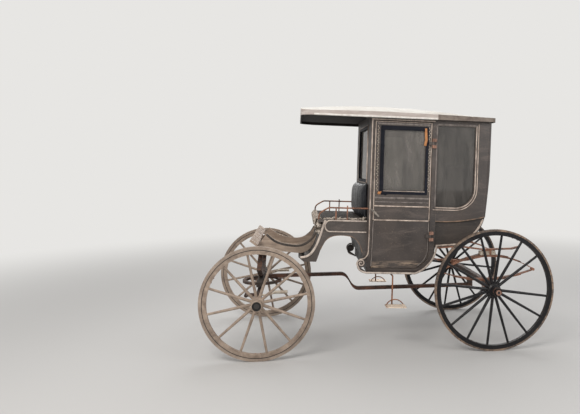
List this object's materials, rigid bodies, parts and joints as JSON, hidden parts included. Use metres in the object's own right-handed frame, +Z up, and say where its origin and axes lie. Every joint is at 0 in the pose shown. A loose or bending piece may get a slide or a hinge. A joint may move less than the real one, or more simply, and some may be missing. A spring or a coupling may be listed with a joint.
{
  "type": "closed horse-drawn carriage",
  "caption": "Closed horse-drawn carriage, driver's seat under the forward roof, hinged side doors, elliptic springs, steering front axle and spoked wheels.",
  "frame": {"origin": "on the ground at the middle of the overall box in plan", "axes": "+X to the rear, front towards -X; left side towards -Y; +Z up"},
  "size_m": [3.065, 1.637, 2.1954],
  "materials": {
    "body_paint": "dull dark grey-brown paint, weathered, with worn tan edges",
    "roof_canvas": "pale primed canvas over roof boards",
    "black_paint": "worn black paint over wood",
    "bare_wood": "bare sanded wood, tan-grey",
    "black_leather": "black padded leather, dull",
    "cabin_cloth": "dark brown cabin upholstery",
    "window_glass": "flat glass, dusty",
    "iron": "dark forged iron, rusty",
    "copper_rust": "forged iron with orange-brown rust",
    "handle_metal": "bright worn nickel",
    "iron_tyre": "iron tyre, dusty brown",
    "rubber_tyre": "old pale solid rubber",
    "dark_board": "dark weathered boards",
    "step_paint": "off-white old paint on iron"
  },
  "bodies": {
    "body": {"back_wall": "body_paint", "backrest": "black_leather", "bench": "dark_board", "bench_cushions": "cabin_cloth", "body_irons": "iron", "bolster": "dark_board", "cab_steps": "copper_rust", "cut_under": "body_paint", "door_frame_left": "body_paint", "door_frame_right": "body_paint", "floor": "dark_board", "footboard": "bare_wood", "front_glass": "window_glass", "front_spring": "iron", "front_wall": "body_paint", "head_block": "dark_board", "hinges": "copper_rust", "lower_quarter_left": "body_paint", "lower_quarter_right": "body_paint", "quarter_glass": "window_glass", "quarter_left": "body_paint", "quarter_right": "body_paint", "reach": "copper_rust", "rear_axle": "iron", "rear_glass": "window_glass", "rear_springs": "copper_rust", "rockers": "body_paint", "roof": "roof_canvas", "seat_box": "body_paint", "seat_rails": "iron", "toe_board": "bare_wood", "upper_ring": "iron"},
    "front_gear": {"front_axle": "iron", "lower_ring": "iron", "couplings": "iron", "driver_steps": "step_paint"},
    "door_left": {"door_left": "body_paint", "door_glass_left": "window_glass", "door_handle_left": "handle_metal"},
    "wheel_front_left": {"wheel_front_left": "bare_wood", "tyre_front_left": "rubber_tyre"},
    "wheel_rear_left": {"wheel_rear_left": "black_paint", "tyre_rear_left": "iron_tyre"},
    "door_right": {"door_right": "body_paint", "door_glass_right": "window_glass", "door_handle_right": "handle_metal"},
    "wheel_front_right": {"wheel_front_right": "bare_wood", "tyre_front_right": "rubber_tyre"},
    "wheel_rear_right": {"wheel_rear_right": "black_paint", "tyre_rear_right": "iron_tyre"}
  },
  "joints": [
    {"name": "steering", "type": "hinge", "parent": "body", "child": "front_gear", "pos_m": [-1.0485, 0, 0.542], "axis": [0, 0, 1], "range_deg": [-26, 26]},
    {"name": "door_left_hinge", "type": "hinge", "parent": "body", "child": "door_left", "pos_m": [0.48248, -0.56, 1.40939], "axis": [0.0436, 0, 0.999], "range_deg": [0, 85]},
    {"name": "door_right_hinge", "type": "hinge", "parent": "body", "child": "door_right", "pos_m": [0.48248, 0.56, 1.40939], "axis": [-0.0436, 0, -0.999], "range_deg": [0, 85]},
    {"name": "wheel_front_left_spin", "type": "hinge", "parent": "front_gear", "child": "wheel_front_left", "pos_m": [-1.0485, -0.71, 0.484], "axis": [0, 1, 0], "continuous": true},
    {"name": "wheel_front_right_spin", "type": "hinge", "parent": "front_gear", "child": "wheel_front_right", "pos_m": [-1.0485, 0.71, 0.484], "axis": [0, 1, 0], "continuous": true},
    {"name": "wheel_rear_left_spin", "type": "hinge", "parent": "body", "child": "wheel_rear_left", "pos_m": [0.9995, -0.71, 0.533], "axis": [0, 1, 0], "continuous": true},
    {"name": "wheel_rear_right_spin", "type": "hinge", "parent": "body", "child": "wheel_rear_right", "pos_m": [0.9995, 0.71, 0.533], "axis": [0, 1, 0], "continuous": true}
  ]
}
